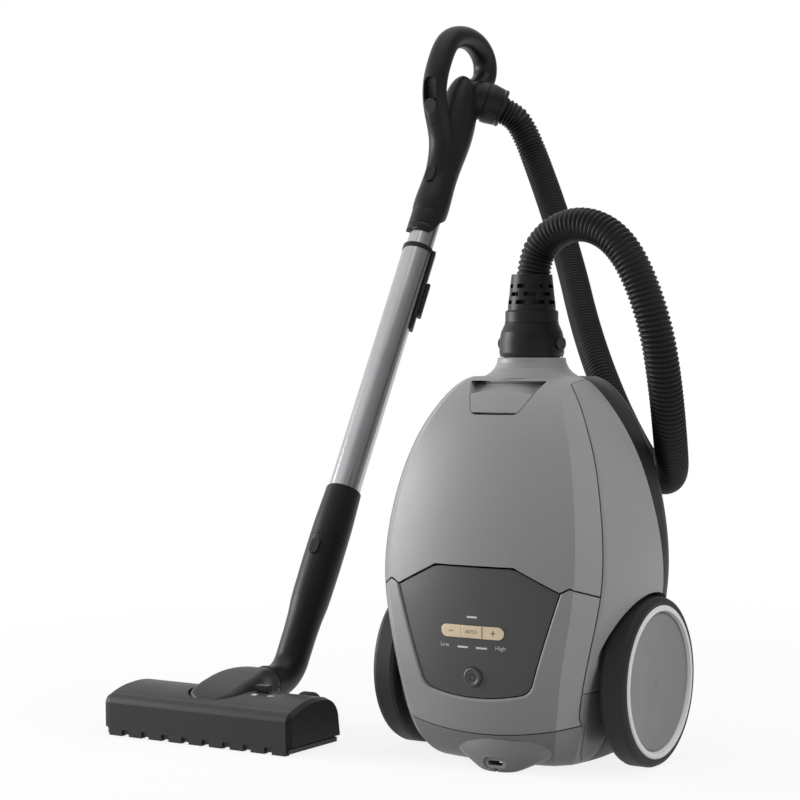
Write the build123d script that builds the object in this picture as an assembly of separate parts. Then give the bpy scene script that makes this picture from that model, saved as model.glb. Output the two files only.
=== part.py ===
from build123d import *
import os
from math import cos, radians, sin, sqrt, tan

# Canister vacuum cleaner parked on its rear end, with hose, telescopic wand and floor nozzle.
# Millimetres, +Z up, floor at Z = 0, canister mid-plane at X = 0, control panel facing -Y.

# Canister shell
WALL = 3.0
SEAM = 0.5                 # half of the gap between two neighbouring covers
WIDEST_Y = 8.0             # where the flanks are widest
CREASE_X, CREASE_DROP = 0.76, 0.112      # edge of the crowned front, as shares of the half width
FLANK_X, FLANK_DROP = 0.916, 0.296       # edge between facet and flank
SEAM_X = 0.895             # joint between lid and side covers, just inside that edge
HEEL_X, HEEL_RISE = 0.62, 0.34           # rounded edge of the flat underside
STATIONS = [               # height, half width, front, back
    (3, 80, -70, 48), (12, 94, -92, 62), (30, 105, -107, 70), (60, 114, -117, 75),
    (100, 123, -124, 77), (145, 134, -126.5, 79), (190, 142, -126, 79), (238, 141, -121, 79),
    (283, 133, -112, 78), (320, 122, -101, 76), (352, 107, -88, 73), (378, 90, -72, 68),
    (394, 75, -58, 62), (402, 60, -46, 54),
]
LID_EDGE = [(-170, 176), (-131, 181), (-104, 192), (-94, 187), (-46, 210),
            (46, 210), (94, 187), (104, 192), (131, 181), (170, 176)]
LID_GAP = 1.2              # lid edge above its boundary line, clear of the cover as it swings
BUMPER_TOP = 85.0
PANEL_SINK = 1.8           # panel face below the shell around it
OUTLET_X, OUTLET_Z = 18.0, 9.5           # cord outlet in the chin

# Inlet, hose cuff and hose
INLET = (0.0, 2.0)
COLLAR_TOP = 422.0
COLLAR_R = 53.4
CUFF_BORE_R = 30.0
RUN_FIT = 0.05             # radial clearance of a turning or sliding fit
HOSE_R, HOSE_ROOT_R, HOSE_BORE_R = 18.0, 16.2, 14.5
HOSE_RIBS = 110
HOSE_ROUTE = [
    (-316.9, 432, 759.9), (-277.4, 457, 742.4), (-263, 468, 717), (-246, 470, 676), (-202, 438, 605),
    (-147, 377, 533), (-96, 312, 464), (-47, 258, 404), (-1, 222, 345), (54, 180, 291),
    (112, 116, 288), (138, 52, 338), (148, 16, 400), (146, -2, 456), (126, -9, 516),
    (99, -8, 550), (61, -4, 564), (23, 0, 553), (0, 2, 523), (0, 2, 472),
]
HOSE_SOCKET_R, SOCKET_DEEP = HOSE_R + 0.4, 12.0

# Rear wheels and caster
AXLE_Y, AXLE_Z, AXLE_R = 6.0, 88.0, 6.0
TYRE_R, RIM_R = 88.0, 79.0
WHEEL_IN, WHEEL_OUT = 121.0, 149.0
WELL_X, WELL_R = 117.5, 92.0
CASTER_Z, CASTER_TRAIL, CASTER_R = 335.0, 6.0, 14.0
CASTER_AXIS_Y = 80.0

# Controls
PILL_Z, PILL_HALF, PILL_H = 144.0, 36.5, 13.0
POWER_Z, POWER_R = 98.0, 10.0
LATCH_LOW, LATCH_HIGH = 364.0, 397.0
LATCH_PIN = (-74.2, 368.0)
LID_PIVOT = (-106.0, 178.0)
LID_ARM_X, LID_ARM_W = 70.0, 8.0

# Wand, measured along its axis from a base point near the floor
WAND_X, WAND_LEAN, WAND_BASE_Z = -327.5, 30.0, 27.2
TUBE_R, TUBE_BORE_R, INNER_R = 19.2, 18.0, 16.9
CUFF_LOW, CUFF_SEAM, CUFF_TOP = 136.0, 203.0, 270.0
TUBE_LOW, TUBE_TOP = 150.0, 606.0
INNER_LOW, INNER_TOP = 226.0, 700.0
SLEEVE_LOW, SLEEVE_SLANT = 650.0, 46.0
NECK_Z, NECK_BEND_R, NECK_END_Y = 50.0, 45.0, -26.0
SPIGOT_R = 14.0

# Floor nozzle
NOZZLE_HALF, NOZZLE_FRONT, NOZZLE_BACK = 127.0, -158.0, -62.0
SOLE_LOW, SOLE_TOP = 3.0, 8.0
PITCH_AXIS = (-112.0, 38.0)
TRUNNION_R = 5.0
KNOB = (50.0, -100.0)       # from the nozzle's mid-plane, and Y
CASTOR_HALF, NOZZLE_WHEEL_R, NOZZLE_WHEEL_Y = 64.0, 24.0, -36.0

WAND_AXIS = Axis((0, 0, 0), (0, sin(radians(WAND_LEAN)), cos(radians(WAND_LEAN))))
WAND = Plane(origin=(WAND_X, 0, WAND_BASE_Z), x_dir=(1, 0, 0),
             z_dir=(0, sin(radians(WAND_LEAN)), cos(radians(WAND_LEAN)))).location
parts = {}


# Small helpers
def prism(face, near, far):
    """Solid of a front-view face (x, z) between y = near and y = far."""
    return extrude(Plane.XZ.offset(-far) * face, far - near)


def side_prism(face, left, right):
    """Solid of a side-view face (y, z) between x = left and x = right."""
    return extrude(Plane.YZ.offset(left) * face, right - left)


def turned(points, at=(0.0, 0.0)):
    """Solid of revolution about a vertical axis from (radius, z) points."""
    face = make_face(Plane.XZ * Polyline(*points, close=True))
    return Pos(at[0], at[1], 0) * revolve(face, Axis.Z)


def x_turned(points, y, z):
    """Solid of revolution about an X axis from (x, radius) points."""
    face = make_face(Polyline(*points, close=True))
    return Pos(0, y, z) * revolve(face, Axis.X)


def x_rod(radius, left, right, y, z):
    """Cylinder along X."""
    return Pos((left + right) / 2, y, z) * Rot(0, 90, 0) * Cylinder(radius, right - left)


def y_rod(radius, near, far, x, z):
    """Cylinder along Y."""
    return Pos(x, (near + far) / 2, z) * Rot(90, 0, 0) * Cylinder(radius, far - near)


def block(x0, x1, y0, y1, z0, z1):
    """Box between two corners."""
    return Pos((x0 + x1) / 2, (y0 + y1) / 2, (z0 + z1) / 2) * Box(x1 - x0, y1 - y0, z1 - z0)


def mirrored(shape):
    """The same shape on the other side of the canister's mid-plane."""
    return mirror(shape, Plane.YZ)


# Canister shell
def plan(half, front, back):
    """Plan outline: crowned front, side facets, bowed flanks, rounded heels, flat underside."""
    crease = (CREASE_X * half, front + CREASE_DROP * half)
    flank = (FLANK_X * half, front + FLANK_DROP * half)
    bow = half - flank[0]
    radius = ((WIDEST_Y - flank[1]) ** 2 + bow ** 2) / (2 * bow)
    low_y = back - HEEL_RISE * half
    low = (half - radius + sqrt(radius ** 2 - (low_y - WIDEST_Y) ** 2), low_y)
    heel = (HEEL_X * half, back)
    bulge = (heel[0] + 0.72 * (low[0] - heel[0]), low_y + 0.72 * (back - low_y))
    widest = (half, WIDEST_Y)

    def flip(p):
        return (-p[0], p[1])

    return make_face([
        ThreePointArc(flip(crease), (0, front), crease),
        Line(crease, flank),
        ThreePointArc(flank, widest, low),
        ThreePointArc(low, bulge, heel),
        Line(heel, flip(heel)),
        ThreePointArc(flip(heel), flip(bulge), flip(low)),
        ThreePointArc(flip(low), flip(widest), flip(flank)),
        Line(flip(flank), flip(crease)),
    ])


def egg(inset):
    """The canister's plain solid, pulled in by inset on every side."""
    low, high = STATIONS[0][0], STATIONS[-1][0]
    squeeze = (high - low - 2 * inset) / (high - low)
    sections = []
    for z, half, front, back in STATIONS:
        level = low + inset + (z - low) * squeeze
        sections.append(Pos(0, 0, level) * plan(half - inset, front + inset, back - inset))
    return loft(sections)


def hull(inset):
    """The canister's solid, pulled in by inset on every side, with its wheel wells."""
    depth = WHEEL_OUT - WELL_X + inset
    well = x_rod(WELL_R + inset, WELL_X - inset, WELL_X - inset + depth, AXLE_Y, AXLE_Z)
    return egg(inset) - well - mirrored(well)


def above(line, rise):
    """Front-view face above an open polyline."""
    points = [(x, z + rise) for x, z in line]
    return make_face(Polyline(*points, (points[-1][0], 450), (points[0][0], 450), close=True))


def split_face(gap, front):
    """Side-view face in front of or behind the joint between covers and chassis."""
    line = [(-30, -10), (-30, 165), (32, 172), (0, 385), (-3, 440)]
    edge = -220 if front else 220
    points = [(y + (-gap if front else gap), z) for y, z in line]
    return make_face(Polyline(*points, (edge, 440), (edge, -10), close=True))


OUTER = hull(0)
CORE = hull(WALL)
SHELL = OUTER - CORE
MID_WALL = egg(WALL / 2)      # what is fused to a cover from inside reaches into its wall
COLLAR_HOLE = Pos(INLET[0], INLET[1], 400) * Cylinder(COLLAR_R + 0.6, 120)
FRONT_SHELL = (SHELL & side_prism(split_face(SEAM, True), -200, 200)) - COLLAR_HOLE


def zone(grow):
    """Front-view face between the two side seams, grown by a margin."""
    right = [(SEAM_X * half + grow, z) for z, half, front, back in STATIONS if 60 <= z <= 394]
    left = [(-x, z) for x, z in reversed(right)]
    foot, top = 106 + grow, right[-1][0]
    return make_face([
        Line((foot, -20), right[0]),
        Spline(*right),
        Polyline(right[-1], (top, 440), (-top, 440), left[0]),
        Spline(*left),
        Polyline(left[-1], (-foot, -20), (foot, -20)),
    ])


ZONE_IN = zone(-SEAM)
ZONE_OUT = zone(SEAM)
band_arc = ThreePointArc((-170, 76), (0, 38), (170, 76))
ABOVE_BAND = make_face([band_arc, Polyline((170, 76), (170, 450), (-170, 450), (-170, 76))])

panel_raw = make_face([
    Polyline((61, 84.5), (94, 187), (46, 210), (-46, 210), (-94, 187), (-61, 84.5)),
    ThreePointArc((-61, 84.5), (0, 76), (61, 84.5)),
])
low_corners = panel_raw.vertices().sort_by(Axis.Y)[:2]
panel_soft = fillet(low_corners, 18)
PANEL = fillet(panel_soft.vertices().sort_by(Axis.Y)[-2:], 40)

latch_raw = make_face(Polyline((-27, LATCH_LOW), (27, LATCH_LOW), (43.7, LATCH_HIGH),
                               (-43.7, LATCH_HIGH), close=True))
LATCH = fillet(latch_raw.vertices().sort_by(Axis.Y)[:2], 9)


def covers():
    """Side covers with their wheel arches, rear cover and bumper with the cord outlet's lip."""
    board = Pos(0, 260) * Rectangle(400, 2 * (260 - BUMPER_TOP - SEAM))
    arch = x_rod(WELL_R + WALL, WELL_X - WALL, 160, AXLE_Y, AXLE_Z)
    arches = FRONT_SHELL & (arch + mirrored(arch)) & prism(board, -160, 60)
    sides = (FRONT_SHELL & prism(board - ZONE_OUT, -160, 60)) + arches
    parts["side_cover_right"] = sides.solids().sort_by(Axis.X)[-1]
    parts["side_cover_left"] = sides.solids().sort_by(Axis.X)[0]

    band = (ZONE_IN & Pos(0, SEAM) * ABOVE_BAND) - above(LID_EDGE, -0.8) - offset(PANEL, SEAM)
    margin = x_rod(WELL_R + WALL + 2 * SEAM, WELL_X - WALL - 2 * SEAM, 160, AXLE_Y, AXLE_Z)
    rear = (FRONT_SHELL & prism(band, -160, -40)) - margin - mirrored(margin)
    near_panel, skin = offset(PANEL, 2).face(), egg(1).solid()
    middles = [(edge, edge.position_at(0.5)) for edge in rear.edges()]
    border = [edge for edge, m in middles
              if near_panel.is_inside((m.X, m.Z, 0)) and not skin.is_inside(m)]
    parts["rear_cover"] = fillet(border, 2.4)

    low = Pos(0, -20) * Rectangle(400, 2 * (BUMPER_TOP + 20 - SEAM))
    upper = ZONE_OUT & Pos(0, -SEAM) * ABOVE_BAND
    bumper = FRONT_SHELL & prism(low - upper, -160, -20)
    chin_rows = [(0.6, 16, 8, -100), (3, 25, 13, -97), (8, 36, 18, -92.5), (14, 48, 22, -88.5),
                 (22, 58, 26, -84.5), (34, 64, 28, -81)]
    chin = loft([Pos(OUTLET_X, y, z) * Ellipse(a, b) for z, a, b, y in chin_rows]) - egg(0.6)
    outlet = Pos(OUTLET_X, OUTLET_Z) * SlotOverall(26, 11)
    hole = Pos(OUTLET_X, OUTLET_Z) * SlotOverall(17, 5)
    notch = block(OUTLET_X, OUTLET_X + 3.6, -125, -101, -1, OUTLET_Z - 4)
    seam_line = [(-77, 54), (-74, 40), (-70, 29), (-63, 18), (-50, 9)]
    seam_back = [(y + 1.2, z + 0.4) for y, z in reversed(seam_line)]
    seam = side_prism(make_face(Polyline(*seam_line, *seam_back, close=True)), -160, 160)
    bumper = (bumper + chin) - prism(outlet, -125, -70) - notch - (seam - egg(1.2))
    parts["rear_bumper"] = bumper
    parts["cord_outlet"] = prism(outlet - hole, -108, -92)


def lid_arm(x):
    """Gooseneck hinge arm: a ring sector behind the panel's top edge and a link to the pin."""
    inner, outer = 29.0, 36.0
    ring = Circle(outer) - Circle(inner)
    wedge = make_face(Polyline((0, 0), (-24, 60), (70, 60), (70, 22), close=True))
    link = Rot(0, 0, 24) * Pos(outer / 2, 0) * Rectangle(outer - 2, 7)
    shape = (ring & wedge) + link + Circle(5.5) - Circle(2.0 + RUN_FIT)
    face = Pos(*LID_PIVOT) * shape
    return side_prism(face, x - LID_ARM_W / 2, x + LID_ARM_W / 2)


def dust_lid():
    """Lid with its latch pocket and hinge arms, its gasket and the latch."""
    opening = offset(LATCH, 0.8)
    rim = offset(LATCH, 3.4)
    skin = FRONT_SHELL & prism((ZONE_IN & above(LID_EDGE, LID_GAP)) - opening, -160, 40)
    floor_core, pocket_core = egg(5.2), egg(7.6)
    tray = (OUTER - pocket_core) & prism(rim - opening, -120, -20)
    tray += (floor_core - pocket_core) & prism(rim, -120, -20)
    tray -= Pos(INLET[0], INLET[1], 452.5) * Cylinder(COLLAR_R + 0.6, 120)
    arms = (lid_arm(LID_ARM_X) + lid_arm(-LID_ARM_X)) & MID_WALL
    pin = x_rod(1.1, -31, 31, *LATCH_PIN)
    parts["dust_lid"] = skin + tray + arms + pin

    ring = (zone(-8.5) & above(LID_EDGE, 48)) - (zone(-13.5) & above(LID_EDGE, 53)) - offset(LATCH, 4)
    parts["lid_gasket"] = ((egg(WALL) - egg(WALL + 3)) & prism(ring, -160, -20)) - COLLAR_HOLE

    brow = ThreePointArc((50, 380.5), (0, 388.5), (-50, 380.5))
    plate = LATCH & make_face([brow, Polyline((-50, 380.5), (-50, 365.4), (50, 365.4), (50, 380.5))])
    latch = SHELL & prism(plate, -120, -20)
    knuckle = x_rod(2.6, -20, 20, *LATCH_PIN)
    latch = latch + knuckle - x_rod(1.1 + RUN_FIT, -40, 40, *LATCH_PIN)
    parts["lid_latch"] = latch


def controls():
    """Control panel with hinge ears and board posts, its buttons, lenses and board."""
    pill = Pos(0, PILL_Z) * SlotOverall(2 * PILL_HALF, PILL_H)
    dial = Pos(0, POWER_Z) * Circle(POWER_R)
    spots = [(0, 159, 12), (-11, 128, 13), (11, 128, 13)]
    lenses = [Pos(x, z) * SlotOverall(w, 2) for x, z, w in spots]
    face = offset(PANEL, -SEAM) - offset(pill, 0.35) - offset(dial, 0.35) - above(LID_EDGE, -0.8)
    for lens in lenses:
        face -= lens
    panel = (egg(PANEL_SINK) - egg(PANEL_SINK + WALL)) & prism(face, -160, -60)
    inside = egg(PANEL_SINK + WALL / 2)
    for x in (-LID_ARM_X - 11, 11 - LID_ARM_X, LID_ARM_X - 11, LID_ARM_X + 11):
        panel += block(x - 3, x + 3, -125, -100, 172, 185) & inside
    for x in (-40, 40):
        for z in (108, 172):
            panel += y_rod(4, -130, -106, x, z) & inside
    for side in (-1, 1):
        panel += x_rod(2.0, side * LID_ARM_X - 14, side * LID_ARM_X + 14, *LID_PIVOT)
    parts["control_panel"] = panel

    cap = egg(PANEL_SINK - 0.9) - egg(PANEL_SINK + 8)
    for name, left, right in (("minus_button", -40, -12.6), ("auto_button", -12.2, 12.2),
                              ("plus_button", 12.6, 40)):
        window = Pos((left + right) / 2, PILL_Z) * Rectangle(right - left, 30)
        parts[name] = cap & prism(pill & window, -160, -60)
    button = turned([(0, 113), (POWER_R, 113), (POWER_R, 123.4), (9.4, 124.8), (8.3, 125.3), (7.2, 125.1),
                     (6.4, 124.5), (0, 124.2)])
    parts["power_button"] = Pos(0, 0, POWER_Z) * Rot(90, 0, 0) * button
    glow = egg(PANEL_SINK - 0.15) - egg(PANEL_SINK + 6)
    parts["indicator_lenses"] = glow & prism(lenses[0] + lenses[1] + lenses[2], -160, -60)
    board = Pos(0, 140) * RectangleRounded(104, 84, 4)
    parts["control_board"] = prism(board, -106, -104.4)


def chassis():
    """Black lower half with stub axles, caster cup and feet, the inlet collar and the bulkhead."""
    tub = (SHELL & side_prism(split_face(SEAM, False), -200, 200)) - COLLAR_HOLE
    cup = y_rod(28, 48, 90, 0, CASTER_Z) & OUTER
    tub += cup
    tub -= y_rod(25, 56, 100, 0, CASTER_Z)
    tub -= y_rod(5 + RUN_FIT, 40, 60, 0, CASTER_Z)
    for x in (-104, 104):
        tub += block(x - 1.2, x + 1.2, 60, 90, 60, 235) & CORE
    axle = x_rod(AXLE_R, 106, WHEEL_OUT - 9, AXLE_Y, AXLE_Z)
    axle += x_rod(AXLE_R + 6, 108, WELL_X - WALL / 2, AXLE_Y, AXLE_Z)
    tub += axle + mirrored(axle)
    for x in (-50, 50):
        tub += Pos(x, 54, 6) * Cylinder(8, 12)
    parts["chassis"] = tub

    parts["rear_foot"] = extrude(RectangleRounded(70, 26, 6), 3)

    collar = turned([(CUFF_BORE_R, 376), (34, 376), (34, 394), (COLLAR_R, 396), (COLLAR_R, 401),
                     (48.5, 403.2), (43.5, 406.5), (39.5, 411), (37, 416.5), (36.2, COLLAR_TOP - 1),
                     (35.2, COLLAR_TOP), (CUFF_BORE_R, COLLAR_TOP)], INLET)
    parts["inlet_collar"] = collar

    slab = block(-200, 200, -200, 200, 236, 239)
    wall = (CORE & slab & side_prism(split_face(0, False), -200, 200)) + (egg(8) & slab)
    wall -= Pos(0, 0, 237.5) * Box(90, 60, 10)
    parts["bulkhead"] = wall
    parts["motor_filter"] = Pos(0, 0, 238.5) * Box(90, 60, 5)


def interior():
    """Fan motor, cord reel, dust bag and their carriers."""
    my, mz = -16.0, 120.0
    can = x_turned([(-104, 46), (-104, 62), (-62, 62), (-62, 52), (30, 52), (30, 4 + RUN_FIT),
                    (24, 4 + RUN_FIT), (24, 46), (-64, 46), (-64, 58), (-100, 58), (-100, 46)], my, mz)
    parts["motor_can"] = can
    blades = x_turned([(-98, 0), (-98, 30), (-94, 55), (-92, 55), (-96, 30), (-96, 0)], my, mz)
    for i in range(9):
        vane = Pos(-86.5, 0, 0) * Rot(40 * i, 0, 0) * Pos(0, 0, 40) * Rot(0, 0, 24) * Box(22, 2, 26)
        blades += Pos(0, my, mz) * vane
    hub = x_turned([(-98, 0), (-98, 14), (-74, 14), (-74, 4), (29, 4), (29, 0)], my, mz)
    parts["fan_rotor"] = blades + hub

    ry, rz = -14.0, 128.0
    parts["cord_reel"] = x_turned([(46, 8 + RUN_FIT), (46, 74), (49, 74), (51, 34), (87, 34),
                                   (89, 74), (92, 74), (92, 8 + RUN_FIT)], ry, rz)
    cradle = block(-58, -44, -20, 90, 40, 112) + block(4, 18, -20, 90, 40, 112)
    cradle += block(-50, 10, 40, 90, 40, 60)
    cradle += block(-58, 97.5, 64, 90, 102, 118) + block(93.5, 97.5, -26, 90, 102, 144)
    cradle = (cradle & CORE) - x_rod(52, -110, 40, my, mz)
    parts["motor_cradle"] = cradle + x_rod(8, 44, 95, ry, rz)

    bag_rows = [(243, 62, 42), (262, 84, 58), (300, 82, 60), (335, 66, 50), (349.5, 40, 32)]
    bag = loft([Pos(0, -16, z) * RectangleRounded(2 * a, 2 * b, 0.6 * b) for z, a, b in bag_rows])
    parts["dust_bag"] = bag
    plate = Pos(0, 2, 349.5) * extrude(RectangleRounded(96, 84, 8) - Circle(21), 3)
    frame = turned([(34.0, 352.5), (40, 352.5), (40, 384), (34.0, 384)], INLET)
    arms = (block(-4, 4, 41.5, 90, 366, 378) + block(-44, 44, 38, 42.5, 366, 378)) & CORE
    parts["bag_holder"] = frame + arms - Pos(0, 2, 368) * Cylinder(34.0, 30.9) + plate


def wheels():
    """Two big rear wheels on stub axles, and the swivelling caster under the nose."""
    for name, flip in (("right", False), ("left", True)):
        tyre = x_turned([(WHEEL_IN, RIM_R - 6), (WHEEL_IN, TYRE_R - 5), (WHEEL_IN + 1.5, TYRE_R - 1.6),
                         (WHEEL_IN + 5, TYRE_R), (WHEEL_OUT - 6, TYRE_R),
                         (WHEEL_OUT - 2, TYRE_R - 1.8), (WHEEL_OUT, TYRE_R - 5),
                         (WHEEL_OUT, RIM_R), (WHEEL_OUT - 6, RIM_R), (WHEEL_OUT - 6, RIM_R - 6)],
                        AXLE_Y, AXLE_Z)
        rim = x_turned([(WHEEL_IN + 1, AXLE_R + RUN_FIT), (WHEEL_IN + 1, 18), (WHEEL_IN + 6, 22),
                        (WHEEL_IN + 6, RIM_R - 6), (WHEEL_OUT - 6, RIM_R - 6), (WHEEL_OUT - 6, RIM_R),
                        (WHEEL_OUT, RIM_R), (WHEEL_OUT + 1, RIM_R - 1.5), (WHEEL_OUT + 1, 73.4),
                        (WHEEL_OUT - 2, 71.8), (WHEEL_OUT - 8, 71.2),
                        (WHEEL_OUT - 8, AXLE_R + RUN_FIT)],
                       AXLE_Y, AXLE_Z)
        cap = x_turned([(WHEEL_OUT - 8, 0), (WHEEL_OUT - 8, 71.1), (WHEEL_OUT - 3.2, 71.1),
                        (WHEEL_OUT - 2.2, 69), (WHEEL_OUT - 3.4, 52), (WHEEL_OUT - 4.6, 28),
                        (WHEEL_OUT - 5, 0)],
                       AXLE_Y, AXLE_Z)
        for label, shape in (("tyre", tyre), ("rim", rim), ("hub_cap", cap)):
            parts[f"{label}_{name}"] = mirrored(shape) if flip else shape

    fork = y_rod(5, 44, 58, 0, CASTER_Z) + y_rod(21, 58, 62, 0, CASTER_Z)
    low = CASTER_Z - CASTER_TRAIL
    for x in (-13, 13):
        fork += block(x - 1.5, x + 1.5, 61, CASTER_AXIS_Y, low - 7, low + 9)
        fork += x_rod(6, x - 1.5, x + 1.5, CASTER_AXIS_Y, low)
    parts["caster_fork"] = fork + x_rod(2.5, -14.5, 14.5, CASTER_AXIS_Y, low)
    parts["caster_wheel"] = x_turned([(-9, 2.5 + RUN_FIT), (-9, 11), (-6, CASTER_R), (6, CASTER_R),
                                      (9, 11), (9, 2.5 + RUN_FIT)], CASTER_AXIS_Y, low)


# Hose, from the handle's outlet to the canister's inlet
def hose_cuff():
    """Cuff that turns in the inlet, its two release buttons and the slotted bend guard."""
    low, r = 384.0, CUFF_BORE_R - RUN_FIT
    cuff = turned([(25, low), (r, low), (r, 422.6), (33.2, 422.6), (34.4, 427), (34.4, 440),
                   (32.6, 449), (28.6, 458), (28.2, 460), (28.2, 470), (27.2, 472),
                   (HOSE_BORE_R, 472), (HOSE_BORE_R, 450), (25, 430)], INLET)
    for name, side in (("cuff_button_right", 1), ("cuff_button_left", -1)):
        oval = Plane.YZ * Pos(INLET[1], 437) * SlotOverall(20, 12)
        cuff -= extrude(Pos(side * 29.0, 0, 0) * offset(oval, 0.3), side * 12)
        parts[name] = extrude(Pos(side * 31.5, 0, 0) * oval, side * 4.2)
    parts["hose_cuff"] = cuff

    guard = turned([(HOSE_SOCKET_R, 472), (25.4, 472), (25.4, 476), (21.6, 510),
                    (HOSE_SOCKET_R, 510)], INLET)
    for row, z in enumerate((480.5, 489, 497.5)):
        for i in range(8):
            slot = Pos(22, 0, 0) * Box(14, 12.5 - 0.9 * row, 4)
            guard -= Pos(INLET[0], INLET[1], z) * Rot(0, 0, 45 * i + 22.5 * (row % 2)) * slot
    parts["bend_guard"] = guard


def hose_radii():
    """Fillet radius at each inner point of the route: as large as its two runs allow."""
    points = [Vector(*p) for p in HOSE_ROUTE]
    radii = []
    for a, b, c in zip(points, points[1:], points[2:]):
        turn = (b - a).get_angle(c - b)
        run = min((b - a).length, (c - b).length)
        radii.append(0.45 * run / tan(radians(turn / 2)))
    return radii


def suction_hose():
    """Ribbed hose: one ruled loft of rings along the route, bored through."""
    radii = hose_radii()
    path = Wire(FilletPolyline(*HOSE_ROUTE, radius=radii).edges())
    plain = 2 * HOSE_R / path.length                 # straight, ribless share at each end
    marks = [(0.0, HOSE_R), (plain * 0.9, HOSE_R)]
    pitch = (1 - 2 * plain) / HOSE_RIBS
    for i in range(HOSE_RIBS):
        start = plain + i * pitch
        marks += [(start, HOSE_ROOT_R), (start + 0.2 * pitch, HOSE_R),
                  (start + 0.55 * pitch, HOSE_R), (start + 0.75 * pitch, HOSE_ROOT_R)]
    marks += [(1 - plain * 0.9, HOSE_R), (1.0, HOSE_R)]
    steady = Vector(1, 0, 0)
    rings = []
    for share, radius in marks:
        along = path.tangent_at(share)
        steady = (steady - along * steady.dot(along)).normalized()
        plane = Plane(origin=path.position_at(share), x_dir=steady, z_dir=along)
        rings.append(plane * Circle(radius))
    start = Plane(origin=path.position_at(0), z_dir=path.tangent_at(0))
    bore = sweep(start * Circle(HOSE_BORE_R), path)
    parts["suction_hose"] = loft(rings, ruled=True) - bore
    print("hose length", round(path.length, 1), "radii", [round(r) for r in radii])


# Handle, modelled in the wand's plane
def handle():
    """Handle with its loop, hose outlet, air slider and release button."""
    at = Plane.YZ.offset(WAND_X)
    rows = [(612, 22.6, 22.6, 0), (660, 21.6, 22.2, 0), (715, 21, 22.8, 0), (755, 22, 25.5, 0),
            (788, 23.5, 28.5, -1), (814, 23, 28.5, -3), (838, 20.5, 25.5, -6), (856, 15.5, 19.5, -8.5),
            (867, 8, 11, -10)]
    body = WAND * loft([Pos(0, v, s) * Ellipse(a, b) for s, a, b, v in rows])
    grip_line = Spline((334, 621), (350, 652), (359.5, 679), (361.5, 698.5), (356, 720), (348.2, 741),
                       (345.4, 759), (348.2, 777.5), (355.5, 795), (366, 813), (380, 828), (405, 837.5),
                       (434, 838), (461, 828), (475, 811), (473.5, 792), (455, 777), (436, 768))
    grip_path = at * grip_line
    grip_start = Plane(origin=grip_path.position_at(0), x_dir=(1, 0, 0), z_dir=grip_path.tangent_at(0))
    grip = sweep(grip_start * Ellipse(16, 14.5), grip_path)
    first, second = Vector(*HOSE_ROUTE[0]), Vector(*HOSE_ROUTE[1])
    out = (second - first).normalized()
    outlet = Plane(origin=first - out * SOCKET_DEEP, x_dir=(0, 0, 1), z_dir=out)
    spout = outlet.location * turned([(0, 0), (18, 0), (23, 8), (25.2, 15), (25.4, 24), (24.2, 24.6),
                                      (24.2, 26), (26.4, 26.6), (26.4, 32), (24.4, 46), (0, 46)])
    mouth = outlet.offset(SOCKET_DEEP - 0.3).location * Pos(0, 0, 20) * Cylinder(HOSE_SOCKET_R, 40)
    shell = body + grip + spout - mouth
    shell -= WAND * Pos(0, 0, 650) * Cylinder(INNER_R, 100)
    shell -= WAND * Pos(0, 0, 768) * Cylinder(HOSE_BORE_R, 140)
    shell -= outlet.location * Pos(0, 0, 8) * Cylinder(HOSE_BORE_R, 20)
    slant = WAND * Pos(0, 0, SLEEVE_LOW) * Rot(SLEEVE_SLANT, 0, 0)
    shell -= slant * Pos(0, 0, -60) * Box(160, 160, 120)

    rail = Plane(origin=(WAND_X, 352.5, 750.5), x_dir=(1, 0, 0), z_dir=(0, -0.9935, -0.114))
    shell -= extrude(rail.offset(10.5) * RectangleRounded(18, 61, 8), 30)
    pad = extrude(rail.offset(11) * Pos(0, -13.6) * RectangleRounded(17.2, 33, 7.6), 7.5)
    parts["air_slider"] = pad & grip

    oval = Rot(90, 0, 0) * SlotOverall(24, 13, rotation=90)
    shell -= extrude(WAND * Pos(0, -18.5, 712) * offset(oval, 0.3), 14)
    parts["handle_button"] = extrude(WAND * Pos(0, -21.3, 712) * oval, 4.4)
    parts["handle"] = shell

    ring = turned([(HOSE_SOCKET_R, 46.4), (24.6, 46.4), (24.6, 50), (22.5, 51.5), (HOSE_SOCKET_R, 51.5)])
    parts["hose_ring"] = outlet.location * ring


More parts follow.
